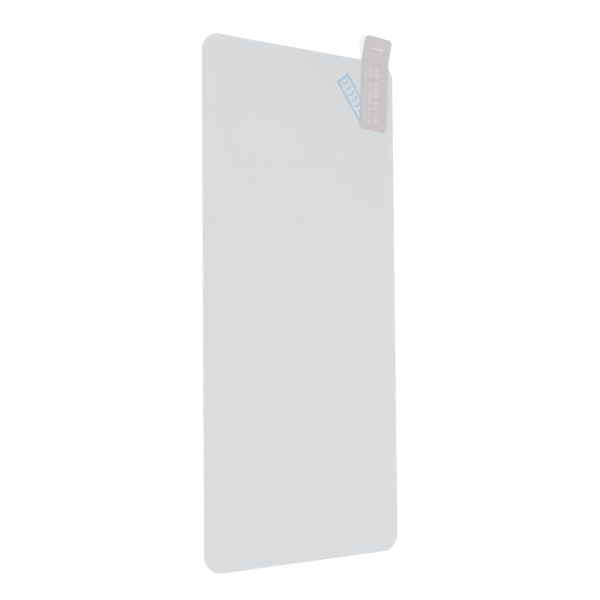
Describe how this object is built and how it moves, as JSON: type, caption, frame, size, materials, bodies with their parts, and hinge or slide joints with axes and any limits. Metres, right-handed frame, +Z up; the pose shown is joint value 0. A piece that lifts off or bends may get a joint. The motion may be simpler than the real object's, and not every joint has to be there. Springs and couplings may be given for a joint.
{
  "type": "phone screen protector",
  "caption": "Flat glass phone screen protector with rounded corners, laid film side up, with clear adhesive, a peel-off film and a pull tab bent up past one end.",
  "frame": {"origin": "centre of the glass's outer face, which lies down", "axes": "+Y along the sheet towards the end with the tab, +X across it towards the tab's side, +Z up out of the film"},
  "size_m": [0.0706, 0.1606, 0.0022],
  "materials": {
    "glass": "clear tempered glass with a polished rolled edge",
    "adhesive": "clear soft silicone",
    "film": "translucent pale grey film, satin",
    "tab": "warm grey matt label"
  },
  "bodies": {
    "root": {"glass_sheet": "glass", "adhesive_layer": "adhesive", "release_film": "film", "pull_tab": "tab"}
  },
  "joints": []
}
